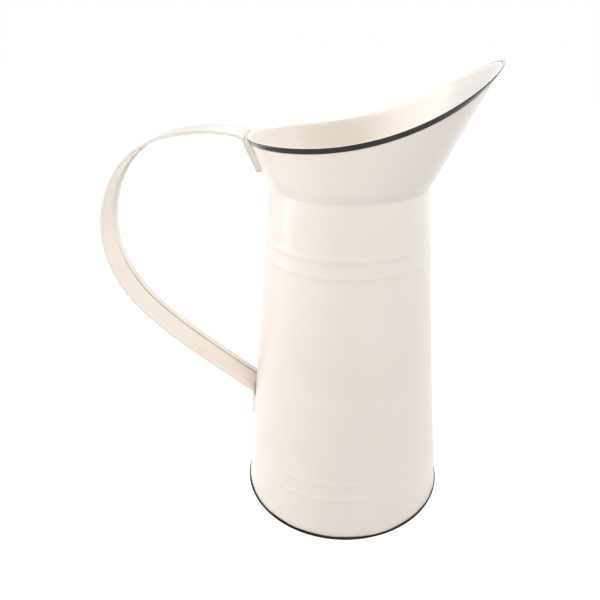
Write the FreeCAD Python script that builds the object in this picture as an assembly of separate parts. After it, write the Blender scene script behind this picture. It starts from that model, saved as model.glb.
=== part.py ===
"""An enamelled sheet-metal pitcher: a tapered body on a black foot rim, a scooped collar and a hemmed strap handle.

Millimetres, +Z up. The origin is on the floor, on the axis of the body. The spout points along +X, the handle
along -X, and the XZ plane is the pitcher's plane of symmetry.
"""

import FreeCAD, Part
import math
import os

from FreeCAD import Vector

# Body: one rolled cone, with two pairs of ribs pressed outwards
FOOT_RADIUS = 70.0          # outside of the cone at the floor
NECK_RADIUS = 47.0          # outside of the cone at the collar seam
BODY_HEIGHT = 220.6         # floor to the collar seam
BODY_SHEET = 1.0
LOWER_RIB_HEIGHTS = (30.9, 43.0)    # rib centres above the floor
UPPER_RIB_DROPS = (31.1, 40.9)      # rib centres below the collar seam
RIB_WIDTH = 6.0
RIB_RISE = 0.3
NECK_LAP = 4.0              # how far the body's top edge runs up inside the collar

# Foot: a pan let into the body, and the black rim rolled round both edges
FLOOR_LIFT = 4.0            # underside of the pan above the floor
PAN_SHEET = 0.8
FOOT_SOLE = 0.8             # metal under the edges of the body and the pan
FOOT_RIM_HEIGHT = 2.4
FOOT_RIM_PROUD = 0.9

# Collar: straight generators that lean out from the round seam, cut to a scooped rim
COLLAR_SHEET = 1.0
BACK_LEAN = 0.404           # outward run for each unit of rise, behind
SPOUT_LEAN = 0.471          # the same under the spout
SIDE_LEAN = -0.056          # the same at the sides, before the cheeks
CHEEK_LEAN = 0.448          # extra sideways lean that fills out the cheeks of the spout
CHEEK_POWER = 3             # how closely the cheeks keep to the spout
RIM_BACK_RISE = 25.2        # rim above the seam, behind
RIM_SPOUT_RISE = 64.3       # rim above the seam, at the tip of the spout
SCOOP_POWER = 2.77          # how late the rim sweeps up towards the spout

# Rim hem: the black fold round the outside of the collar's edge
HEM_WIDTH = 2.8
HEM_SHEET = 0.9

# Handle: a strap with both long edges folded flat onto its inner face
STRAP_WIDTH = 26.0
STRAP_SHEET = 0.9
STRAP_HEM = 5.4
TOP_TAB_RISE = 6.6          # lower end of the top tab above the collar seam
TOP_BEND_RADIUS = 4.0       # middle of the strap
TOP_HEADING = 161.6         # degrees from +X, where the strap leaves the rim
FOOT_BEND_RADIUS = 5.0
FOOT_HEADING = 322.9        # degrees from +X, where the strap comes down to the body
LOWER_JOINT_HEIGHT = 75.7   # corner of the lower bend above the floor
LOWER_TAB_LENGTH = 17.4
PRESS = 0.1                 # how far each tab is dressed down onto what it is soldered to

# The strap's sweep: control points between its two bends
CREST_REACH = 11.4          # from the top bend, along TOP_HEADING
SHOULDER = (-66.5, 4.5)     # from the rim's back edge
HANDLE_REACH = 157.15       # outermost point from the body's axis
REACH_DROP = 50.2           # outermost point below the rim's back edge
HEEL = (-84.6, 67.15)       # from the corner of the lower bend
RUN_REACH = 55.3            # from the lower bend, back along FOOT_HEADING

SECTION_POINTS = 24         # points round each oval section of the collar
RIM_POINTS = 18             # points along the scoop of the rim
RIM_OVERRUN = 0.15          # how far the scoop runs past the collar at both ends, as a share of its length
RIB_POINTS = 9
MARGIN = 30.0               # cutting solids run this far past what they cut

UP = Vector(0, 0, 1)
ACROSS = Vector(0, 1, 0)


def heading(degrees):
    """A unit vector in the plane of symmetry, turned up from +X."""
    angle = math.radians(degrees)
    return Vector(math.cos(angle), 0, math.sin(angle))


def lathe(outline):
    """A solid of revolution about the body's axis, from a closed outline of edges in the XZ plane."""
    return Part.Face(Part.Wire(Part.__sortEdges__(outline))).revolve(Vector(), UP, 360)


def body_radius(z):
    return FOOT_RADIUS + (NECK_RADIUS - FOOT_RADIUS) * z / BODY_HEIGHT


def rib_centres():
    return sorted(list(LOWER_RIB_HEIGHTS) + [BODY_HEIGHT - drop for drop in UPPER_RIB_DROPS])


def body_side(inset, bottom, top):
    """The cone's side from bottom to top, with its ribs, moved in by inset."""
    slope = Vector(NECK_RADIUS - FOOT_RADIUS, 0, BODY_HEIGHT).normalize()
    edges = []
    start = Vector(body_radius(bottom) - inset, 0, bottom)
    for centre in rib_centres():
        points = []
        for i in range(RIB_POINTS):
            share = 2 * i / (RIB_POINTS - 1) - 1
            z = centre + share * RIB_WIDTH / 2
            rise = RIB_RISE * math.cos(share * math.pi / 2) ** 2
            points.append(Vector(body_radius(z) - inset + rise, 0, z))
        rib = Part.BSplineCurve()
        rib.interpolate(Points=points, InitialTangent=slope, FinalTangent=slope)
        edges += [Part.makeLine(start, points[0]), rib.toShape()]
        start = points[-1]
    end = Vector(body_radius(top) - inset, 0, top)
    return edges + [Part.makeLine(start, end)]


def filled_body(inset, bottom, top):
    """The ribbed cone as a full solid."""
    side = body_side(inset, bottom, top)
    low = side[0].Vertexes[0].Point
    high = side[-1].Vertexes[-1].Point
    axis_low, axis_high = Vector(0, 0, bottom), Vector(0, 0, top)
    closing = [Part.makeLine(high, axis_high), Part.makeLine(axis_high, axis_low), Part.makeLine(axis_low, low)]
    return lathe(side + closing)


def filled_pan(inset, bottom, top):
    """A plain cone that fits inside the foot of the body."""
    low, high = body_radius(bottom) - inset, body_radius(top) - inset
    return Part.makeCone(low, high, top - bottom, Vector(0, 0, bottom))


def collar_section(offset, rise):
    """One level oval of the collar, offset outwards from the body's neck."""
    along = (SPOUT_LEAN + BACK_LEAN) / 2
    shift = (SPOUT_LEAN - BACK_LEAN) / 2
    points = []
    for i in range(SECTION_POINTS):
        turn = math.pi + 2 * math.pi * i / SECTION_POINTS
        cheek = CHEEK_LEAN * ((1 + math.cos(turn)) / 2) ** CHEEK_POWER
        x = (NECK_RADIUS + offset + along * rise) * math.cos(turn) + shift * rise
        y = (NECK_RADIUS + offset + (SIDE_LEAN + cheek) * rise) * math.sin(turn)
        points.append(Vector(x, y, BODY_HEIGHT + rise))
    oval = Part.BSplineCurve()
    oval.interpolate(Points=points, PeriodicFlag=True, Parameters=list(range(SECTION_POINTS + 1)))
    return Part.Wire(oval.toShape())


def filled_collar(offset, rise):
    """The collar as a full solid from the round seam up to rise, before its rim is cut."""
    circle = Part.Circle(Vector(0, 0, BODY_HEIGHT), UP, NECK_RADIUS + offset)
    seam = Part.Wire(Part.ArcOfCircle(circle, math.pi, 3 * math.pi).toShape())
    return Part.makeLoft([seam, collar_section(offset, rise)], True, True)


def rim_back_x():
    return -(NECK_RADIUS + COLLAR_SHEET + BACK_LEAN * RIM_BACK_RISE)


def rim_tip_x():
    return NECK_RADIUS + COLLAR_SHEET + SPOUT_LEAN * RIM_SPOUT_RISE


def rim_point(share, drop):
    """A point of the rim in side view, from 0 behind to 1 at the tip, dropped square to the rim."""
    length = rim_tip_x() - rim_back_x()
    sweep = RIM_SPOUT_RISE - RIM_BACK_RISE
    risen = max(share, 0)
    slope = math.atan2(sweep * SCOOP_POWER * risen ** (SCOOP_POWER - 1), length)
    x = rim_back_x() + length * share
    z = BODY_HEIGHT + RIM_BACK_RISE + sweep * risen ** SCOOP_POWER
    return Vector(x + drop * math.sin(slope), 0, z - drop * math.cos(slope))


def under_rim(drop):
    """Everything below the scoop of the rim, as one thick slab across the pitcher."""
    shares = [(1 + 2 * RIM_OVERRUN) * i / (RIM_POINTS - 1) - RIM_OVERRUN for i in range(RIM_POINTS)]
    points = [rim_point(share, drop) for share in shares]
    scoop = Part.BSplineCurve()
    scoop.interpolate(Points=points)
    floor = BODY_HEIGHT - MARGIN
    corners = [points[-1], Vector(points[-1].x, 0, floor), Vector(points[0].x, 0, floor), points[0]]
    edges = [scoop.toShape()]
    edges += [Part.makeLine(a, b) for a, b in zip(corners, corners[1:])]
    face = Part.Face(Part.Wire(Part.__sortEdges__(edges)))
    half_width = rim_tip_x() + MARGIN
    face.translate(Vector(0, -half_width, 0))
    return face.extrude(Vector(0, 2 * half_width, 0))


def make_body():
    sides = filled_body(0, FOOT_SOLE, BODY_HEIGHT).cut(filled_body(BODY_SHEET, FOOT_SOLE, BODY_HEIGHT))
    lap = filled_collar(0, NECK_LAP).cut(filled_collar(-BODY_SHEET, NECK_LAP))
    return sides.fuse(lap)


def make_pan():
    top = FLOOR_LIFT + PAN_SHEET
    outside = filled_pan(BODY_SHEET, FOOT_SOLE, top)
    return outside.cut(filled_pan(BODY_SHEET + PAN_SHEET, FOOT_SOLE, FLOOR_LIFT))


def make_foot_rim():
    inner = body_radius(FOOT_SOLE) - BODY_SHEET - PAN_SHEET
    low_in, high_in = Vector(inner, 0, 0), Vector(inner, 0, FOOT_SOLE)
    low_out, high_out = Vector(FOOT_RADIUS, 0, 0), Vector(body_radius(FOOT_RIM_HEIGHT), 0, FOOT_RIM_HEIGHT)
    shelf = Vector(body_radius(FOOT_SOLE), 0, FOOT_SOLE)
    bulge = Vector(FOOT_RADIUS + FOOT_RIM_PROUD, 0, FOOT_RIM_HEIGHT / 2)
    return lathe([
        Part.makeLine(high_in, low_in),
        Part.makeLine(low_in, low_out),
        Part.Arc(low_out, bulge, high_out).toShape(),
        Part.makeLine(high_out, shelf),
        Part.makeLine(shelf, high_in),
    ])


def make_collar():
    top = RIM_SPOUT_RISE + MARGIN
    sides = filled_collar(COLLAR_SHEET, top).cut(filled_collar(0, top))
    return sides.common(under_rim(0))


def make_rim_hem():
    top = RIM_SPOUT_RISE + MARGIN
    fold = filled_collar(COLLAR_SHEET + HEM_SHEET, top).cut(filled_collar(COLLAR_SHEET, top))
    return fold.common(under_rim(0)).cut(under_rim(HEM_WIDTH))


def bend(before, corner, after, radius):
    """A round bend at a corner between two headings: its start, its middle and its end."""
    turn = before.getAngle(after)
    run = radius * math.tan(turn / 2)
    start, end = corner - before * run, corner + after * run
    inwards = (after - before).normalize()
    centre = corner + inwards * (radius / math.cos(turn / 2))
    return start, centre - inwards * radius, end


def collar_back(rise, stand_off):
    """A point behind the collar, in the plane of symmetry, standing off its outer face."""
    lean = math.atan(BACK_LEAN)
    x = -(NECK_RADIUS + COLLAR_SHEET + BACK_LEAN * rise)
    return Vector(x - stand_off * math.cos(lean), 0, BODY_HEIGHT + rise - stand_off * math.sin(lean))


def body_back(z, stand_off):
    return Vector(-body_radius(z) - stand_off, 0, z)


def strap_path():
    """The middle of the strap: up the top tab, out over the sweep and down the lower tab."""
    half = STRAP_SHEET / 2 - PRESS
    tab_start = collar_back(TOP_TAB_RISE, half)
    top_corner = collar_back(RIM_BACK_RISE + STRAP_SHEET, half + HEM_SHEET)
    low_corner = body_back(LOWER_JOINT_HEIGHT, half)
    tab_end = body_back(LOWER_JOINT_HEIGHT - LOWER_TAB_LENGTH, half)
    out, home = heading(TOP_HEADING), heading(FOOT_HEADING)
    up_tab = (top_corner - tab_start).normalize()
    down_tab = (tab_end - low_corner).normalize()
    top_bend = bend(up_tab, top_corner, out, TOP_BEND_RADIUS)
    foot_bend = bend(home, low_corner, down_tab, FOOT_BEND_RADIUS)
    rim_back = Vector(rim_back_x(), 0, BODY_HEIGHT + RIM_BACK_RISE)
    sweep = Part.BSplineCurve()
    sweep.buildFromPoles([
        top_bend[2],
        top_bend[2] + out * CREST_REACH,
        rim_back + Vector(SHOULDER[0], 0, SHOULDER[1]),
        Vector(-HANDLE_REACH, 0, rim_back.z - REACH_DROP),
        low_corner + Vector(HEEL[0], 0, HEEL[1]),
        foot_bend[0] - home * RUN_REACH,
        foot_bend[0],
    ], False, 3)
    return Part.Wire([
        Part.makeLine(tab_start, top_bend[0]),
        Part.Arc(*top_bend).toShape(),
        sweep.toShape(),
        Part.Arc(*foot_bend).toShape(),
        Part.makeLine(foot_bend[2], tab_end),
    ]), tab_start, up_tab


def strap_section(place, along):
    """The strap's cross-section: a flat web whose two edges are folded onto the side inside the loop."""
    inwards = along.cross(ACROSS)
    half, edge, fold = STRAP_SHEET / 2, STRAP_WIDTH / 2, STRAP_SHEET
    lip = edge - STRAP_HEM

    def point(side, depth):
        return place + ACROSS * side + inwards * depth

    def half_outline(sign):
        web_end, hem_end = point(sign * (edge - fold), -half), point(sign * (edge - fold), half + fold)
        return [
            Part.makeLine(point(0, -half), web_end),
            Part.Arc(web_end, point(sign * edge, half), hem_end).toShape(),
            Part.makeLine(hem_end, point(sign * lip, half + fold)),
            Part.makeLine(point(sign * lip, half + fold), point(sign * lip, half)),
            Part.makeLine(point(sign * lip, half), point(0, half)),
        ]

    return Part.Wire(Part.__sortEdges__(half_outline(1) + half_outline(-1)))


def make_handle(neighbours):
    path, start, along = strap_path()
    pipe = Part.BRepOffsetAPI.MakePipeShell(path)
    pipe.setBiNormalMode(ACROSS)
    pipe.add(strap_section(start, along), False, False)
    pipe.build()
    pipe.makeSolid()
    strap = pipe.shape()
    for neighbour in neighbours:
        strap = strap.cut(neighbour)
    return strap


def main():
    hem = make_rim_hem()
    full_collar = filled_collar(COLLAR_SHEET, RIM_SPOUT_RISE + MARGIN).common(under_rim(0))
    nodes = {
        "body": make_body(),
        "pan": make_pan(),
        "foot_rim": make_foot_rim(),
        "collar": make_collar(),
        "rim_hem": hem,
        "handle": make_handle([full_collar, hem, filled_body(0, FOOT_SOLE, BODY_HEIGHT)]),
    }
    os.makedirs("parts", exist_ok=True)
    for name, shape in nodes.items():
        solid = shape.removeSplitter()
        if len(solid.Solids) != 1 or not solid.isValid():
            raise ValueError(f"{name} has {len(solid.Solids)} solids, valid: {solid.isValid()}")
        solid.Solids[0].exportStep(os.path.join("parts", name + ".step"))
        box = solid.optimalBoundingBox(False)
        print(f"{name}: volume {solid.Volume:.0f}, x {box.XMin:.1f} to {box.XMax:.1f}, "
              f"y {box.YMin:.1f} to {box.YMax:.1f}, z {box.ZMin:.1f} to {box.ZMax:.1f}")


main()
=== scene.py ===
"""The enamelled pitcher, dressed: every sheet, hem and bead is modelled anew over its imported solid.

The frame is the solids' own: +Z up, the origin on the floor under the body's axis, the spout along +X and
the handle along -X. Shapes are worked out in millimetres, as the solids are, and MM turns them to metres.
Finishes, lamps and the camera are in metres.
"""

import math

import bmesh
import bpy
from mathutils import Matrix, Vector


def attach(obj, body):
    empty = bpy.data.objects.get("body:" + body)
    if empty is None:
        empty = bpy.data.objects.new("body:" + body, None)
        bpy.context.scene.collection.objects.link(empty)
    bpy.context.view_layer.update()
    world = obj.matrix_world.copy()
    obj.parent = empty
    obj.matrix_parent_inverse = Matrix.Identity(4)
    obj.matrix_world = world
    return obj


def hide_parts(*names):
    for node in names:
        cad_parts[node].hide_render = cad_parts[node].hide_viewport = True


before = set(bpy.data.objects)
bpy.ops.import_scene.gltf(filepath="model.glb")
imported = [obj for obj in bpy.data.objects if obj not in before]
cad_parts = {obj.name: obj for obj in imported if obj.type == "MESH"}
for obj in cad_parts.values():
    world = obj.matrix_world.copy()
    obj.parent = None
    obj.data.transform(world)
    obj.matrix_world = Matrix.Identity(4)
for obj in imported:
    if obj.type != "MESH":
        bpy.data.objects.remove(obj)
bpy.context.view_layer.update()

MM = 0.001

# Body, pan and foot, in millimetres, as the solids have them
FOOT_RADIUS = 70.0          # outside of the cone at the floor
NECK_RADIUS = 47.0          # outside of the cone at the collar seam
BODY_HEIGHT = 220.6         # floor to the collar seam
SHEET = 1.0                 # the body's sheet and the collar's
RIB_HEIGHTS = (30.9, 43.0, 179.7, 189.5)
RIB_WIDTH = 6.0
RIB_RISE = 0.3
NECK_LAP = 4.0              # how far the body's top edge runs up inside the collar
FLOOR_LIFT = 4.0            # underside of the pan above the floor
PAN_SHEET = 0.8
FOOT_SOLE = 0.8             # metal under the edges of the body and the pan
FOOT_RIM_HEIGHT = 2.4
FOOT_RIM_PROUD = 0.9

# Collar and its rim fold
BACK_LEAN = 0.404           # outward run for each unit of rise, behind
SPOUT_LEAN = 0.471          # the same under the spout
SIDE_LEAN = -0.056          # the same at the sides, before the cheeks
CHEEK_LEAN = 0.448          # extra sideways lean that fills out the cheeks of the spout
CHEEK_POWER = 3             # how closely the cheeks keep to the spout
RIM_BACK_RISE = 25.2        # rim above the seam, behind
RIM_SPOUT_RISE = 64.3       # rim above the seam, at the tip of the spout
SCOOP_POWER = 2.77          # how late the rim sweeps up towards the spout
RIM_BACK_X = -(NECK_RADIUS + SHEET + BACK_LEAN * RIM_BACK_RISE)
RIM_TIP_X = NECK_RADIUS + SHEET + SPOUT_LEAN * RIM_SPOUT_RISE
HEM_WIDTH = 2.8
HEM_SHEET = 0.9
LIP_THIN = 0.48             # how much thinner the fold is at its lower lip

# Handle strap
STRAP_WIDTH = 26.0
STRAP_SHEET = 0.9
STRAP_HEM = 5.4             # width of each edge that is folded back
STRAP_LIP = STRAP_WIDTH / 2 - STRAP_HEM     # from the strap's middle to the lip of each hem
TOP_TAB_RISE = 6.6          # lower end of the top tab above the collar seam
TOP_BEND_RADIUS = 4.0       # middle of the strap
TOP_HEADING = 161.6         # degrees from +X, where the strap leaves the rim
FOOT_BEND_RADIUS = 5.0
FOOT_HEADING = 322.9        # degrees from +X, where the strap comes down to the body
LOWER_JOINT_HEIGHT = 75.7   # corner of the lower bend above the floor
LOWER_TAB_LENGTH = 17.4
PRESS = 0.1                 # how far each tab is dressed down onto what it is soldered to

# The strap's sweep: control points between its two bends
CREST_REACH = 11.4          # from the top bend, along TOP_HEADING
SHOULDER = (-66.5, 4.5)     # from the rim's back edge
HANDLE_REACH = 157.15       # outermost point from the body's axis
REACH_DROP = 50.2           # outermost point below the rim's back edge
HEEL = (-84.6, 67.15)       # from the corner of the lower bend
RUN_REACH = 55.3            # from the lower bend, back along FOOT_HEADING

# Beds of enamel under the strap's tabs
BED_SPREAD = 1.3            # how far a bed shows on each side of its tab
BED_PAST = 0.7              # how far it shows past the end of its tab
BED_SUNK = 0.25             # how far its underside is in the wall
BED_TAPER = 1.5             # how much narrower it is on each side, at its two ends
BED_TAPER_STEPS = 1.5       # steps over which its ends thin out

ROUND_STEPS = 192           # steps round the body and the collar
WALL_STEP = 2.5             # longest gap between points up the body's wall, clear of the ribs
RIB_STEPS = 16              # steps over each rib
FACE_STEPS = 14             # steps up each face of the collar
CORNER_STEPS = 5            # steps round the arc in a rounded corner
BEND_STEPS = 14             # steps round each bend of the strap
SWEEP_STEPS = 96            # steps along the strap's sweep
BED_STEPS = 20              # steps along a bed
MERGE = 1e-7                # doubles nearer than this are merged, in metres


# ---------------------------------------------------------------- meshes

def body_radius(z):
    """Outside of the body's cone at a height above the floor."""
    return FOOT_RADIUS + (NECK_RADIUS - FOOT_RADIUS) * z / BODY_HEIGHT


def heading(degrees):
    """A unit vector in the plane of symmetry, turned up from +X."""
    angle = math.radians(degrees)
    return Vector((math.cos(angle), math.sin(angle)))


def rounded(corners, radius):
    """An open outline with every corner between its ends turned on a small arc."""
    points = [Vector(corners[0])]
    for before, corner, after in zip(corners, corners[1:], corners[2:]):
        before, corner, after = Vector(before), Vector(corner), Vector(after)
        into = before - corner
        out = after - corner
        reach = min(radius, into.length * 0.49, out.length * 0.49)
        start = corner + into.normalized() * reach
        end = corner + out.normalized() * reach
        for i in range(CORNER_STEPS + 1):
            share = i / CORNER_STEPS
            points.append(start.lerp(corner, share).lerp(corner.lerp(end, share), share))
    points.append(Vector(corners[-1]))
    return points


def spaced(points, step):
    """The same open outline with no gap longer than step."""
    out = [points[0]]
    for a, b in zip(points, points[1:]):
        parts = max(1, math.ceil((b - a).length / step))
        out += [a.lerp(b, i / parts) for i in range(1, parts + 1)]
    return out


def piece_from(shape, name, material, node=None):
    """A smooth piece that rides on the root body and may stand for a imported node."""
    mesh = bpy.data.meshes.new(name)
    shape.to_mesh(mesh)
    shape.free()
    for face in mesh.polygons:
        face.use_smooth = True
    mesh.materials.append(material)
    piece = bpy.data.objects.new(name, mesh)
    bpy.context.scene.collection.objects.link(piece)
    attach(piece, "root")
    if node:
        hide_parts(node)
    return piece


def lathed(outline):
    """A closed outline of (radius, height) in millimetres, spun once round the body's axis."""
    shape = bmesh.new()
    corners = [shape.verts.new((point.x * MM, 0, point.y * MM)) for point in outline]
    edges = [shape.edges.new(pair) for pair in zip(corners, corners[1:] + corners[:1])]
    bmesh.ops.spin(
        shape, geom=corners + edges, cent=(0, 0, 0), axis=(0, 0, 1), dvec=(0, 0, 0),
        angle=math.tau, steps=ROUND_STEPS, use_merge=True, use_duplicate=False,
    )
    bmesh.ops.remove_doubles(shape, verts=shape.verts, dist=MERGE)
    bmesh.ops.recalc_face_normals(shape, faces=shape.faces)
    return shape


def wrapped(row, row_count, is_ring):
    """A tube made from a flat grid: row(i) gives the closed outline of row i, as points in millimetres.

    The grid's own coordinates say which row and which point each vertex belongs to. Its UV map holds
    the run along the rows and round the outline, in metres. A ring's last row is its first again, and
    any other tube has its two ends closed.
    """
    outlines = [row(i) for i in range(row_count + 1)]
    around = len(outlines[0])
    shape = bmesh.new()
    bmesh.ops.create_grid(shape, x_segments=row_count, y_segments=around, size=1.0)
    along_runs = [0.0]
    for i in range(row_count):
        gap = sum(((a - b).length for a, b in zip(outlines[i], outlines[i + 1])), 0.0) / around
        along_runs.append(along_runs[-1] + gap * MM)
    middle = outlines[row_count // 2]
    round_runs = [0.0]
    for a, b in zip(middle, middle[1:] + middle[:1]):
        round_runs.append(round_runs[-1] + (b - a).length * MM)
    layer = shape.loops.layers.uv.new("run")
    place = {}
    for vert in shape.verts:
        place[vert] = (round((vert.co.x + 1) / 2 * row_count), round((vert.co.y + 1) / 2 * around))
    for face in shape.faces:
        for loop in face.loops:
            i, point = place[loop.vert]
            loop[layer].uv = (along_runs[i], round_runs[point])
    for vert, (i, point) in place.items():
        vert.co = outlines[i][point % around] * MM
    bmesh.ops.remove_doubles(shape, verts=shape.verts, dist=MERGE)
    if not is_ring:
        rims = [edge for edge in shape.edges if edge.is_boundary]
        bmesh.ops.holes_fill(shape, edges=rims, sides=0)
    bmesh.ops.recalc_face_normals(shape, faces=shape.faces)
    return shape


def wall_side(inset):
    """One side of the body's wall with its four ribs, bottom to top, moved in by inset."""
    heights = [FOOT_SOLE, BODY_HEIGHT]
    half = RIB_STEPS // 2
    for centre in RIB_HEIGHTS:
        heights += [centre + RIB_WIDTH * i / RIB_STEPS for i in range(-half, half + 1)]
    tall = BODY_HEIGHT - FOOT_SOLE
    count = math.ceil(tall / WALL_STEP)
    margin = RIB_WIDTH / 2 + 0.6
    for i in range(1, count):
        z = FOOT_SOLE + tall * i / count
        if all(abs(z - centre) > margin for centre in RIB_HEIGHTS):
            heights.append(z)
    points = []
    for z in sorted(set(heights)):
        rise = 0.0
        for centre in RIB_HEIGHTS:
            share = (z - centre) / RIB_WIDTH
            if abs(share) < 0.5:
                rise = RIB_RISE * math.cos(share * math.pi) ** 2
        points.append(Vector((body_radius(z) - inset + rise, z)))
    return points


def collar_point(turn, rise, offset):
    """A point of the collar's wall: turn is from the spout, rise over the seam, offset out from the neck."""
    cheek = CHEEK_LEAN * ((1 + math.cos(turn)) / 2) ** CHEEK_POWER
    along = (SPOUT_LEAN + BACK_LEAN) / 2
    shift = (SPOUT_LEAN - BACK_LEAN) / 2
    x = (NECK_RADIUS + offset + along * rise) * math.cos(turn) + shift * rise
    y = (NECK_RADIUS + offset + (SIDE_LEAN + cheek) * rise) * math.sin(turn)
    return Vector((x, y, BODY_HEIGHT + rise))


def scoop_height(x):
    """The rim's rise over the seam, in side view."""
    share = max((x - RIM_BACK_X) / (RIM_TIP_X - RIM_BACK_X), 0.0)
    return RIM_BACK_RISE + (RIM_SPOUT_RISE - RIM_BACK_RISE) * share ** SCOOP_POWER


def scoop_slope(x):
    """The angle of that curve to the level."""
    share = max((x - RIM_BACK_X) / (RIM_TIP_X - RIM_BACK_X), 0.0)
    sweep = (RIM_SPOUT_RISE - RIM_BACK_RISE) * SCOOP_POWER * share ** (SCOOP_POWER - 1)
    return math.atan(sweep / (RIM_TIP_X - RIM_BACK_X))


def rim_rise(turn, offset, drop):
    """How far up the wall the rim comes, less a drop measured square to it; found by halving."""
    low, high = 0.0, RIM_SPOUT_RISE + 20.0
    for _ in range(40):
        middle = (low + high) / 2
        x = collar_point(turn, middle, offset).x
        under = scoop_height(x) - drop / math.cos(scoop_slope(x))
        if middle < under:
            low = middle
        else:
            high = middle
    return (low + high) / 2


def make_body(material):
    """The tapered wall. Its lap over the seam leans with the collar, a hair clear of it."""
    seam = BODY_HEIGHT
    lap_top = seam + NECK_LAP
    inner = NECK_RADIUS - SHEET
    lap = rounded([(NECK_RADIUS, seam), (NECK_RADIUS, lap_top), (inner, lap_top), (inner, seam)], 0.45)
    shape = lathed(wall_side(0.0) + spaced(lap[1:-1], 1.0) + wall_side(SHEET)[::-1])
    hair = 0.02
    for vert in shape.verts:
        rise = vert.co.z / MM - BODY_HEIGHT
        if rise > 0:
            turn = math.atan2(vert.co.y, vert.co.x)
            offset = math.hypot(vert.co.x, vert.co.y) / MM - NECK_RADIUS
            vert.co = collar_point(turn, rise, offset - hair) * MM
    return piece_from(shape, "body_wall", material, "body")


def make_foot_bead(material):
    """The black rim rolled round the lower edges of the wall and the pan, round on its outer side."""
    inner = body_radius(FOOT_SOLE) - SHEET - PAN_SHEET
    corner = 0.25
    radius = FOOT_RIM_HEIGHT / 2
    centre = Vector((FOOT_RADIUS + FOOT_RIM_PROUD - radius, radius))
    outline = [Vector((inner, FOOT_SOLE)), Vector((inner, corner)), Vector((inner + corner, 0.0))]
    outline.append(Vector((FOOT_RADIUS - 0.35, 0.0)))
    outline += [centre + heading(-80 + 160 * i / 12) * radius for i in range(13)]
    outline.append(Vector((body_radius(FOOT_RIM_HEIGHT), FOOT_RIM_HEIGHT - 0.05)))
    outline.append(Vector((body_radius(FOOT_SOLE), FOOT_SOLE)))
    return piece_from(lathed(outline), "foot_bead", material, "foot_rim")


def make_pan(material):
    """The floor: a disc with its edge turned down inside the wall."""
    top = FLOOR_LIFT + PAN_SHEET
    outer = body_radius(FOOT_SOLE) - SHEET
    path = rounded([
        (0.0, top), (body_radius(top) - SHEET, top),
        (outer, FOOT_SOLE), (outer - PAN_SHEET, FOOT_SOLE),
        (body_radius(FLOOR_LIFT) - SHEET - PAN_SHEET, FLOOR_LIFT), (0.0, FLOOR_LIFT),
    ], 0.35)
    return piece_from(lathed(spaced(path, 6.0)), "floor_pan", material, "pan")


def make_collar(material):
    """The leaning sheet: enamel run smooth into the body at the seam, and a rounded edge at the rim."""
    # (rise over the seam, offset), then (drop under the rim, offset)
    foot = [
        (-2.6, 0.10), (-1.8, 0.19), (-1.0, 0.27), (0.0, 0.42), (1.0, 0.60),
        (2.0, 0.76), (3.2, 0.90), (4.6, 0.98), (6.0, SHEET),
    ]
    edge = [
        (0.55, SHEET), (0.2, 0.93), (0.03, 0.78), (0.0, 0.55),
        (0.06, 0.3), (0.24, 0.1), (0.55, 0.0),
    ]

    def row(i):
        turn = math.pi + math.tau * i / ROUND_STEPS
        start = foot[-1][0]
        outer = rim_rise(turn, SHEET, edge[0][0])
        inner = rim_rise(turn, 0.0, edge[-1][0])
        rises = [start + (outer - start) * k / FACE_STEPS for k in range(1, FACE_STEPS)]
        falls = [inner * (1 - k / FACE_STEPS) for k in range(1, FACE_STEPS + 1)]
        spots = foot + [(rise, SHEET) for rise in rises]
        spots += [(rim_rise(turn, offset, drop), offset) for drop, offset in edge]
        spots += [(rise, 0.0) for rise in falls + [foot[0][0]]]
        return [collar_point(turn, rise, offset) for rise, offset in spots]

    return piece_from(wrapped(row, ROUND_STEPS, True), "collar_sheet", material, "collar")


def make_rim_hem(material):
    """The black fold outside the rim, with a rounded top and a thinner, rounded lower lip."""
    # (drop under the rim, offset)
    outer = SHEET + HEM_SHEET
    top = [(0.0, SHEET), (0.0, 1.25), (0.1, 1.5), (0.28, 1.74), (0.55, outer)]
    face = [(0.55 + (HEM_WIDTH - 1.15) * k / 4, outer - LIP_THIN / 4 * k) for k in range(1, 5)]
    lip = [(HEM_WIDTH - 0.28, 1.32), (HEM_WIDTH - 0.1, 1.2), (HEM_WIDTH, 1.1), (HEM_WIDTH, SHEET)]
    back = [(HEM_WIDTH * (1 - k / 3), SHEET) for k in range(1, 3)]
    outline = top + face + lip + back

    def row(i):
        turn = math.pi + math.tau * i / ROUND_STEPS
        return [collar_point(turn, rim_rise(turn, offset, drop), offset) for drop, offset in outline]

    return piece_from(wrapped(row, ROUND_STEPS, True), "rim_fold", material, "rim_hem")


def bend(before, corner, after, radius):
    """Start, centre and end of a round bend at a corner, in the plane of symmetry."""
    turn = before.angle(after)
    run = radius * math.tan(turn / 2)
    inwards = (after - before).normalized()
    return corner - before * run, corner + inwards * (radius / math.cos(turn / 2)), corner + after * run


def arc_points(start, centre, end):
    """Points between the two ends of an arc."""
    a, b = start - centre, end - centre
    turn = math.atan2(a.x * b.y - a.y * b.x, a.dot(b))
    out = []
    for i in range(1, BEND_STEPS):
        angle = turn * i / BEND_STEPS
        c, s = math.cos(angle), math.sin(angle)
        out.append(centre + Vector((a.x * c - a.y * s, a.x * s + a.y * c)))
    return out


def collar_back(rise, stand_off):
    """A point behind the collar's wall, in the plane of symmetry."""
    lean = math.atan(BACK_LEAN)
    x = -(NECK_RADIUS + SHEET + BACK_LEAN * rise)
    return Vector((x - stand_off * math.cos(lean), BODY_HEIGHT + rise - stand_off * math.sin(lean)))


def body_back(z, stand_off):
    """A point behind the body's wall, in the plane of symmetry."""
    return Vector((-body_radius(z) - stand_off, z))


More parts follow.
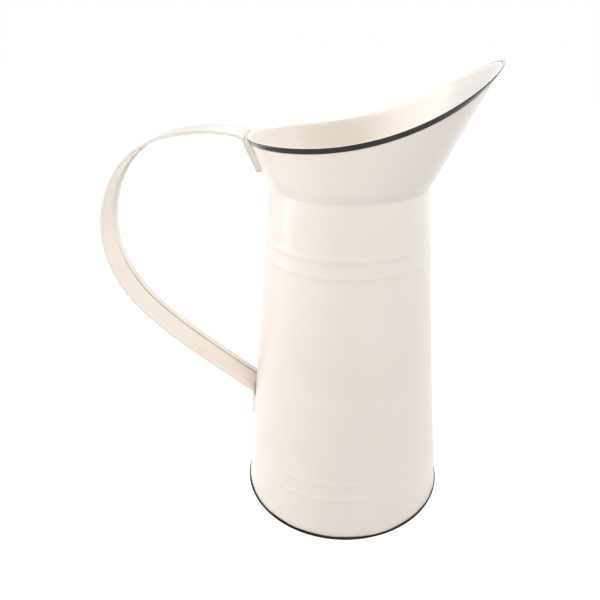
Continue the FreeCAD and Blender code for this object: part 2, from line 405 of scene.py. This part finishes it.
def sweep_points(poles):
    """Points of a clamped cubic through a row of poles, by repeated averaging between them."""
    spans = len(poles) - 3
    knots = [0.0] * 4 + [float(k) for k in range(1, spans)] + [float(spans)] * 4
    out = []
    for i in range(1, SWEEP_STEPS):
        u = spans * i / SWEEP_STEPS
        k = min(3 + int(u), len(poles) - 1)
        local = [poles[j + k - 3].copy() for j in range(4)]
        for r in range(1, 4):
            for j in range(3, r - 1, -1):
                left = knots[j + k - 3]
                share = (u - left) / (knots[j + 1 + k - r] - left)
                local[j] = local[j - 1].lerp(local[j], share)
        out.append(local[3])
    return out


def strap_path():
    """The middle of the strap: up the top tab, out over the sweep and down the lower tab."""
    half = STRAP_SHEET / 2 - PRESS
    tab_start = collar_back(TOP_TAB_RISE, half)
    top_corner = collar_back(RIM_BACK_RISE + STRAP_SHEET, half + HEM_SHEET)
    low_corner = body_back(LOWER_JOINT_HEIGHT, half)
    tab_end = body_back(LOWER_JOINT_HEIGHT - LOWER_TAB_LENGTH, half)
    out, home = heading(TOP_HEADING), heading(FOOT_HEADING)
    up_tab = (top_corner - tab_start).normalized()
    down_tab = (tab_end - low_corner).normalized()
    top = bend(up_tab, top_corner, out, TOP_BEND_RADIUS)
    foot = bend(home, low_corner, down_tab, FOOT_BEND_RADIUS)
    rim_back = Vector((RIM_BACK_X, BODY_HEIGHT + RIM_BACK_RISE))
    end_step = 0.3
    poles = [
        top[2],
        top[2] + out * CREST_REACH,
        rim_back + Vector(SHOULDER),
        Vector((-HANDLE_REACH, rim_back.y - REACH_DROP)),
        low_corner + Vector(HEEL),
        foot[0] - home * RUN_REACH,
        foot[0],
    ]
    points = [tab_start, tab_start + up_tab * end_step]
    points += spaced([tab_start + up_tab * end_step * 2, top[0]], 2.0)
    points += arc_points(*top) + [top[2]]
    points += sweep_points(poles) + [foot[0]]
    points += arc_points(*foot) + [foot[2]]
    points += spaced([foot[2], tab_end - down_tab * end_step * 2], 2.0)[1:]
    return points + [tab_end - down_tab * end_step, tab_end]


def strap_outline():
    """(side, depth) round the strap: a flat web, its edges folded onto the side inside the loop."""
    half = STRAP_SHEET / 2
    fold = STRAP_SHEET
    centre = Vector((STRAP_WIDTH / 2 - fold, half))
    out = [Vector((side, -half)) for side in (0.0, STRAP_LIP * 0.5, STRAP_LIP)]
    out += [centre + heading(-90 + 180 * i / 10) * fold for i in range(11)]
    lip = [
        (1.0, fold), (0.3, fold), (0.08, fold * 0.9), (0.0, fold * 0.7),
        (0.05, 0.12), (-0.12, 0.0), (-STRAP_LIP * 0.5, 0.0),
    ]
    out += [Vector((STRAP_LIP + side, half + depth)) for side, depth in lip]
    mirrored = [Vector((0.0, half))] + out[:0:-1]
    return out + [Vector((-point.x, point.y)) for point in mirrored]


def make_handle(material):
    """The strap's outline swept along its path, drawn in a little at both ends so that they are rounded."""
    path = strap_path()
    outline = strap_outline()
    last = len(path) - 1
    trims = {0: 0.22, 1: 0.06, last - 1: 0.06, last: 0.22}
    middle = STRAP_SHEET / 2

    def row(i):
        ahead = path[min(i + 1, last)]
        behind = path[max(i - 1, 0)]
        along = (ahead - behind).normalized()
        inwards = Vector((-along.y, along.x))
        trim = trims.get(i, 0.0)
        points = []
        for point in outline:
            side = point.x - math.copysign(min(trim, abs(point.x)), point.x)
            depth = (point.y - middle) * (1 - trim) + middle
            spot = path[i] + inwards * depth
            points.append(Vector((spot.x, side, spot.y)))
        return points

    return piece_from(wrapped(row, last, False), "handle_strap", material, "handle")


def bed_outline():
    """(side, fill) round a bed: sides run from -1 to 1, and fill from 0 at the wall to 1 under the strap.

    A fill of -1 is the underside, in the wall.
    """
    slope = [(1.0, 0.0), (0.978, 0.10), (0.956, 0.25), (0.934, 0.45), (0.912, 0.70), (0.88, 1.0)]
    flat = [side / 10 for side in range(-8, 9, 2)]
    left = [(-side, fill) for side, fill in slope]
    top = [(side, 1.0) for side in flat]
    underside = [(side, -1) for side in [0.9] + flat[::-1] + [-0.9]]
    return left + top + slope[::-1] + underside


def make_tab_bed(name, start, end, wall_depth, material):
    """Enamel run into the joint under a tab: a thin bed whose sides slope from the strap to the wall.

    start and end are the ends of the tab's middle line, in either order. wall_depth(spot, side) is how
    far the wall is from that line, towards the body's axis.
    """
    along = (end - start).normalized()
    inwards = Vector((along.y, -along.x))
    if inwards.x < 0:
        inwards = -inwards
    reach = (end - start).length
    outline = bed_outline()
    overlap = 0.05
    tuck = 0.02

    def row(i):
        spot = start + along * reach * i / BED_STEPS
        taper = min(1.0, i / BED_TAPER_STEPS, (BED_STEPS - i) / BED_TAPER_STEPS)
        half_width = STRAP_WIDTH / 2 + BED_SPREAD - BED_TAPER * (1 - taper)
        points = []
        for side, fill in outline:
            across = side * half_width
            wall = wall_depth(spot, across)
            if fill < 0:
                depth = wall + BED_SUNK
            else:
                depth = wall - (wall + overlap * taper) * fill * taper - tuck
            place = spot + inwards * depth
            points.append(Vector((place.x, across, place.y)))
        return points

    return piece_from(wrapped(row, BED_STEPS, False), name, material)


def make_tab_beds(material):
    """The bed under the top tab, on the collar, and the bed under the lower tab, on the body."""
    half = STRAP_SHEET / 2 - PRESS
    lean = math.atan(BACK_LEAN)

    def collar_depth(spot, side):
        rise = spot.y - BODY_HEIGHT
        radius = NECK_RADIUS + SHEET + SIDE_LEAN * rise
        turn = math.pi - math.asin(side / radius)
        return (collar_point(turn, rise, SHEET).x - spot.x) * math.cos(lean)

    def body_depth(spot, side):
        radius = body_radius(spot.y)
        return half + radius - math.sqrt(radius * radius - side * side)

    under_rim = 0.2
    under_bend = 3.0
    upper_foot = collar_back(TOP_TAB_RISE - BED_PAST, half)
    upper_head = collar_back(RIM_BACK_RISE - under_rim, half + HEM_SHEET)
    lower_head = body_back(LOWER_JOINT_HEIGHT - under_bend, half)
    lower_foot = body_back(LOWER_JOINT_HEIGHT - LOWER_TAB_LENGTH - BED_PAST, half)
    return [
        make_tab_bed("tab_bed_upper", upper_foot, upper_head, collar_depth, material),
        make_tab_bed("tab_bed_lower", lower_head, lower_foot, body_depth, material),
    ]


# ---------------------------------------------------------------- finishes

class Wire:
    """An output socket that takes part in sums: each operation on it adds one Math node."""

    def __init__(self, shade, socket):
        self.shade = shade
        self.socket = socket

    def maths(self, operation, *values):
        return self.shade.add("Math", {"operation": operation}, dict(enumerate(values)))

    def __add__(self, other):
        return self.maths("ADD", self, other)

    def __radd__(self, other):
        return self.maths("ADD", other, self)

    def __sub__(self, other):
        return self.maths("SUBTRACT", self, other)

    def __rsub__(self, other):
        return self.maths("SUBTRACT", other, self)

    def __mul__(self, other):
        return self.maths("MULTIPLY", self, other)

    def __rmul__(self, other):
        return self.maths("MULTIPLY", other, self)

    def __abs__(self):
        return self.maths("ABSOLUTE", self)

    def either(self, other):
        """The larger of the two."""
        return self.maths("MAXIMUM", self, other)

    def step(self, low, high):
        """0 below low and 1 above high, with a soft change between; low may be the higher of the two."""
        settings = {"interpolation_type": "SMOOTHSTEP"}
        return self.shade.add("MapRange", settings, {"Value": self, "From Min": low, "From Max": high})


class Shade:
    """The nodes of one material, or of the world. Each of them comes from add()."""

    def __init__(self, owner):
        owner.use_nodes = True
        self.owner = owner
        self.tree = owner.node_tree
        self.tree.nodes.clear()

    def add(self, kind, settings=None, sockets=None, output=0):
        """A new node: its settings are set first, then a value or a Wire for each of its sockets."""
        node = self.tree.nodes.new("ShaderNode" + kind)
        for key, value in (settings or {}).items():
            setattr(node, key, value)
        for key, value in (sockets or {}).items():
            if isinstance(value, Wire):
                self.tree.links.new(value.socket, node.inputs[key])
            else:
                node.inputs[key].default_value = value
        return Wire(self, node.outputs[output]) if node.outputs else None

    def place(self):
        return self.add("TexCoord", output="Object")

    def part(self, vector, axis):
        return self.add("SeparateXYZ", {}, {0: vector}, axis)

    def along(self, axis):
        """Metres from the origin along X, Y or Z."""
        return self.part(self.place(), axis)

    def facing(self, axis):
        """1 where the surface faces along the axis, 0 square to it and -1 where it faces back."""
        return self.part(self.add("TexCoord", output="Normal"), axis)

    def round_run(self):
        """Metres round the outline of a piece that has a run map."""
        return self.part(self.add("UVMap", {"uv_map": "run"}), "Y")

    def noise(self, scale, detail=2.0, roughness=0.5):
        sockets = {"Vector": self.place(), "Scale": scale, "Detail": detail, "Roughness": roughness}
        return self.add("TexNoise", {}, sockets)

    def specks(self, scale, size, share):
        """Round specks: size is their radius and share the part of the cells that have one."""
        cells = {"Vector": self.place(), "Scale": scale}
        near = self.add("TexVoronoi", {"feature": "F1"}, cells, "Distance")
        tone = self.add("TexVoronoi", {"feature": "F1"}, cells, "Color")
        lot = self.add("SeparateColor", {}, {0: tone}, "Red")
        return near.step(size * scale, size * scale * 0.55) * lot.step(share, share - 0.01)

    def mix(self, factor, a, b):
        sockets = {0: factor, 6: a, 7: b}
        return self.add("Mix", {"data_type": "RGBA"}, sockets, 2)

    def bump(self, height, distance, normal=None):
        sockets = {"Height": height, "Distance": distance, "Strength": 1.0}
        if normal:
            sockets["Normal"] = normal
        return self.add("Bump", {}, sockets)

    def finish(self, colour, roughness, normal, coat, coat_roughness, gloss):
        """The finished material; coat, coat_roughness and gloss are plain numbers."""
        sockets = {
            "Base Color": colour,
            "Roughness": roughness,
            "Normal": normal,
            "Coat Weight": coat,
            "Coat Roughness": coat_roughness,
            "Specular IOR Level": gloss,
        }
        return self.show(self.add("BsdfPrincipled", {}, sockets))

    def show(self, shader, kind="Material"):
        self.add("Output" + kind, {}, {"Surface": shader})
        return self.owner


CREAM = (0.850, 0.778, 0.706, 1)
CREAM_THIN_AND_SHADE = (0.795, 0.712, 0.630, 1)       # where the glaze is thin over its ground coat; also painted shade on the lower strap
CREAM_THICK = (0.862, 0.796, 0.730, 1)
CREAM_LIT_INSIDE = (0.905, 0.836, 0.768, 1)     # painted light: the collar's inner face made lighter
CREAM_LIT_STRAP = (0.955, 0.880, 0.800, 1)      # painted light on the upper part of the strap
CREAM_SHADED_TOP = (0.650, 0.620, 0.588, 1)        # painted shade along the top of the handle, where it faces up
CREAM_SHADED_SPOUT = (0.800, 0.768, 0.735, 1)      # painted shade: the inside of the spout made darker
PINHOLE = (0.30, 0.22, 0.16, 1)
BARE_EDGE = (0.17, 0.105, 0.065, 1)         # burnt steel at a raw edge or under a chip
BLACK = (0.014, 0.014, 0.015, 1)
BLACK_THIN = (0.045, 0.047, 0.055, 1)
SLATE_GLINT = (0.330, 0.335, 0.350, 1)            # painted highlight: grey-blue glint on the black by the handle

RIPPLE = 0.00012            # height of the sheet's slow ripple, in metres
PEEL = 0.0000004            # height of the glaze's fine orange peel
CREAM_GLAZE = {"coat": 0.14, "coat_roughness": 0.18, "gloss": 0.36}


def new_enamel(name):
    return Shade(bpy.data.materials.new(name))


def enamel_colour(shade):
    """Cream with broad clouds where the glaze ran thick or thin, and a few pinholes.

    Gives the colour, and the clouds for the roughness to follow.
    """
    clouds = shade.noise(11.0, 3.0, 0.55)
    colour = shade.mix(clouds.step(0.35, 0.72), CREAM, CREAM_THICK)
    colour = shade.mix(clouds.step(0.46, 0.24) * 0.45, colour, CREAM_THIN_AND_SHADE)
    pinholes = shade.specks(95.0, 0.00030, 0.035)
    return shade.mix(pinholes * 0.8, colour, PINHOLE), clouds


def enamel_normal(shade):
    """The slow ripple of hand-worked sheet under the fine orange peel of fired glaze."""
    slow = shade.bump(shade.noise(26.0, 1.5), RIPPLE)
    return shade.bump(shade.noise(620.0), PEEL, slow)


def enamel_roughness(clouds):
    return 0.30 + clouds * 0.08


def cream_sheet(name, wear_and_light=None):
    """Cream enamel over sheet; the function given with it may lay thin glaze, painted light and painted
    shade over the colour.
    """
    shade = new_enamel(name)
    colour, clouds = enamel_colour(shade)
    if wear_and_light:
        colour = wear_and_light(shade, colour)
    return shade.finish(colour, enamel_roughness(clouds), enamel_normal(shade), **CREAM_GLAZE)


def near_ribs(shade, colour):
    """Thin glaze on the crests of the ribs and over the foot, where it runs off as it melts."""
    height = shade.along("Z")
    thin = height.step(0.0045, 0.0018) * 0.5
    for centre in RIB_HEIGHTS:
        thin = thin.either(abs(height - centre * MM).step(0.0011, 0.0002) * 0.18)
    return shade.mix(thin * shade.noise(70.0).step(0.30, 0.62), colour, CREAM_THIN_AND_SHADE)


def inside_collar(shade, colour):
    """The collar's inner face: painted light over all of it, and painted shade towards the tip of the spout.
    """
    inside = shade.facing("Z").step(0.0, 0.15)
    # painted light: the inner face lighter than the outside, though the enamel is the same cream
    colour = shade.mix(inside, colour, CREAM_LIT_INSIDE)
    # painted shade: the inner face darker towards the tip of the spout
    return shade.mix(inside * shade.along("X").step(0.035, 0.070), colour, CREAM_SHADED_SPOUT)


def strap_runs():
    """How far round the strap's outline, in metres, its two raw lips and its two folds are."""
    outline = strap_outline()
    lips = []
    folds = []
    run = 0.0
    for point, after in zip(outline, outline[1:] + outline[:1]):
        side = abs(point.x)
        if abs(side - STRAP_LIP - 0.05) < 0.01 and 0 < point.y < STRAP_SHEET:
            lips.append(run)
        if abs(side - STRAP_WIDTH / 2) < 0.01:
            folds.append(run)
        run += (after - point).length * MM
    return lips, folds


def lines_at(across, runs, edge, core):
    """1 along lines at two places across the strap, fading from core to edge metres off them."""
    first, second = [abs(across - run).step(edge, core) for run in runs]
    return first.either(second)


def cream_strap(name):
    """Cream enamel with painted shade low on the strap and along its top, painted light on its upper part,
    the raw lips of both hems showing as brown lines, and chips on the folds.
    """
    shade = new_enamel(name)
    colour, clouds = enamel_colour(shade)
    height = shade.along("Z")
    # painted shade: the strap darker towards its lower end
    colour = shade.mix(height.step(0.135, 0.095) * 0.8, colour, CREAM_THIN_AND_SHADE)
    # painted light: the strap lighter on its upper part
    colour = shade.mix(height.step(0.130, 0.195) * 0.9, colour, CREAM_LIT_STRAP)

    across = shade.round_run()
    lips, folds = strap_runs()
    raw = lines_at(across, lips, 0.00034, 0.00014)
    low = height.step(0.185, 0.140)
    wander = shade.noise(160.0).step(0.30, 0.75)
    colour = shade.mix(raw * (0.05 + low * 0.95) * (0.70 + wander * 0.30), colour, BARE_EDGE)

    # painted shade: the top of the handle darker where it faces up
    top_shade = height.step(0.205, 0.240) * shade.facing("Z").step(0.1, 0.5)
    colour = shade.mix(top_shade * 0.9, colour, CREAM_SHADED_TOP)
    chips = shade.specks(260.0, 0.00065, 0.30) * raw.either(lines_at(across, folds, 0.0009, 0.0003))
    colour = shade.mix(chips * 0.9, colour, BARE_EDGE)
    roughness = enamel_roughness(clouds) + chips * 0.3
    return shade.finish(colour, roughness, enamel_normal(shade), **CREAM_GLAZE)


def black_edge(name, gloss, glint, border):
    """Black enamel, with a painted grey-blue highlight by the handle. border(shade) is 1 where it gives way
    to cream.
    """
    shade = new_enamel(name)
    clouds = shade.noise(60.0, 3.0)
    colour = shade.mix(clouds.step(0.5, 0.8) * 0.5, BLACK, BLACK_THIN)
    roughness = 0.16 + clouds * 0.1
    # painted highlight: streaks of grey-blue glint on the black towards the handle
    streaks = shade.noise(90.0, 3.0).step(0.30, 0.60)
    colour = shade.mix(shade.along("X").step(-0.040, -0.054) * streaks * glint, colour, SLATE_GLINT)
    colour = shade.mix(border(shade), colour, CREAM)
    slow = shade.bump(shade.noise(40.0), RIPPLE)
    normal = shade.bump(shade.noise(420.0), 0.000014, slow)
    return shade.finish(colour, roughness, normal, coat=0.04, coat_roughness=0.08, gloss=gloss)


def rim_border(shade):
    """Cream over the top of the fold, to a brushed line that wavers by a tenth of a millimetre or two.

    The fold is cream under the handle's tab as well.
    """
    across = shade.round_run() + (shade.noise(55.0) - 0.5) * 0.0004
    tab_edge = STRAP_WIDTH / 2 * MM
    under_tab = abs(shade.along("Y")).step(tab_edge - 0.0002, tab_edge - 0.0008)
    behind = shade.along("X").step(0.0, -0.02)
    return across.step(0.00062, 0.00046).either(under_tab * behind)


def foot_border(shade):
    """Cream over a brushed line along the top of the foot bead."""
    height = shade.along("Z") + (shade.noise(40.0) - 0.5) * 0.0003
    top = FOOT_RIM_HEIGHT * MM
    return height.step(top - 0.00010, top + 0.00002)


# ---------------------------------------------------------------- pitcher

cream = cream_sheet("cream_enamel")
body_cream = cream_sheet("cream_enamel_body", near_ribs)
collar_cream = cream_sheet("cream_enamel_collar", inside_collar)
strap_cream = cream_strap("cream_enamel_strap")
black_rim = black_edge("black_enamel_rim", gloss=0.26, glint=0.85, border=rim_border)
black_foot = black_edge("black_enamel_foot", gloss=0.05, glint=0.0, border=foot_border)

body = make_body(body_cream)
foot_bead = make_foot_bead(black_foot)
pan = make_pan(cream)
collar = make_collar(collar_cream)
rim_fold = make_rim_hem(black_rim)
strap = make_handle(strap_cream)
beds = make_tab_beds(cream)

# ---------------------------------------------------------------- studio

SKY_LIGHT = 0.0             # none, because the lamps give all the light
SHOWN_WHITE = 1.0           # what the camera and the gloss see behind the pitcher
PAPER = (0.80, 0.80, 0.80, 1)
PAPER_GLOW = 0.60           # seen under the pitcher, low enough for its shadow to show
GLOW_START = 0.25           # metres from the pitcher where the glow begins to rise
GLOW_FULL = 0.9             # where it reaches SHOWN_WHITE
WHITE = (1, 1, 1, 1)
AIM = Vector((0.0, 0.0, 0.15))      # where every lamp points
LAMPS = {
    # name: (place, width, height, power in watts)
    "left_box": ((-1.027, 0.2, 0.49), 1.1, 0.9, 1.0),
    "left_strip": ((-1.062, -0.037, 0.435), 0.35, 1.0, 6.2),
    "left_high": ((-0.596, -0.5, 0.928), 0.7, 0.7, 2.9),
    "front_high": ((0.266, -0.731, 0.928), 0.7, 0.7, 7.7),
    "right_high": ((0.751, -0.201, 0.928), 0.8, 0.8, 2.0),
    "right_back": ((0.674, 0.389, 0.928), 0.7, 0.7, 0.9),
    "right_back_low": ((0.881, 0.617, 0.379), 0.8, 0.8, 1.7),
    "back_high": ((0.0, 0.778, 0.928), 0.8, 0.8, 5.6),
}
CAMERA_PLACE = (0.0120, -0.3312, 0.3027)
CAMERA_PAN = 4.518          # degrees to the left of straight ahead
CAMERA_DROP = 28.585        # degrees below level
CAMERA_ROLL = 0.243
CAMERA_LENS = 33.736        # millimetres, over a sensor of 36
CAMERA_SHIFT = (-0.0404, 0.0463)


def seen_or_lit(shade, lit, seen):
    """The shader seen for the camera and in gloss and glass, and the shader lit for every other ray."""
    path = shade.add("LightPath", output="Is Camera Ray")
    for ray in ("Is Glossy Ray", "Is Transmission Ray"):
        path = path.either(shade.add("LightPath", output=ray))
    return shade.add("MixShader", {}, {0: path, 1: lit, 2: seen})


def make_floor():
    """White paper under the pitcher, whose glow rises to full white away from it."""
    shape = bmesh.new()
    bmesh.ops.create_grid(shape, x_segments=1, y_segments=1, size=6.0)
    mesh = bpy.data.meshes.new("floor")
    shape.to_mesh(mesh)
    shape.free()
    floor = bpy.data.objects.new("floor", mesh)
    bpy.context.scene.collection.objects.link(floor)
    shade = Shade(bpy.data.materials.new("floor_paper"))
    paper = shade.add("BsdfDiffuse", {}, {"Color": PAPER})
    away = shade.add("VectorMath", {"operation": "LENGTH"}, {0: shade.place()}, "Value")
    rise = away.step(GLOW_START, GLOW_FULL) * (SHOWN_WHITE - PAPER_GLOW)
    glow = shade.add("Emission", {}, {"Color": WHITE, "Strength": PAPER_GLOW + rise})
    seen = shade.add("AddShader", {}, {0: paper, 1: glow})
    mesh.materials.append(shade.show(seen_or_lit(shade, paper, seen)))


def make_sky():
    """White behind the pitcher, with no light of its own."""
    sky = Shade(bpy.data.worlds.new("studio"))
    lit = sky.add("Background", {}, {"Color": WHITE, "Strength": SKY_LIGHT})
    seen = sky.add("Background", {}, {"Color": WHITE, "Strength": SHOWN_WHITE})
    return sky.show(seen_or_lit(sky, lit, seen), "World")


def make_lamp(name, spot, width, height, power):
    """A flat soft lamp that faces the pitcher."""
    lamp = bpy.data.lights.new(name, "AREA")
    lamp.shape = "RECTANGLE"
    lamp.size = width
    lamp.size_y = height
    lamp.energy = power
    holder = bpy.data.objects.new(name, lamp)
    bpy.context.scene.collection.objects.link(holder)
    holder.location = spot
    holder.rotation_mode = "QUATERNION"
    holder.rotation_quaternion = (AIM - Vector(spot)).to_track_quat("-Z", "Y")


def make_camera():
    camera = bpy.data.objects.new("camera", bpy.data.cameras.new("camera"))
    bpy.context.scene.collection.objects.link(camera)
    camera.data.sensor_width = 36
    camera.data.lens = CAMERA_LENS
    camera.data.shift_x, camera.data.shift_y = CAMERA_SHIFT
    camera.matrix_world = (
        Matrix.Translation(CAMERA_PLACE)
        @ Matrix.Rotation(math.radians(CAMERA_PAN), 4, "Z")
        @ Matrix.Rotation(math.radians(90 - CAMERA_DROP), 4, "X")
        @ Matrix.Rotation(math.radians(CAMERA_ROLL), 4, "Z")
    )
    return camera


make_floor()
bpy.context.scene.world = make_sky()
for name, values in LAMPS.items():
    make_lamp(name, *values)
bpy.context.scene.camera = make_camera()
bpy.context.scene.view_settings.view_transform = "Standard"
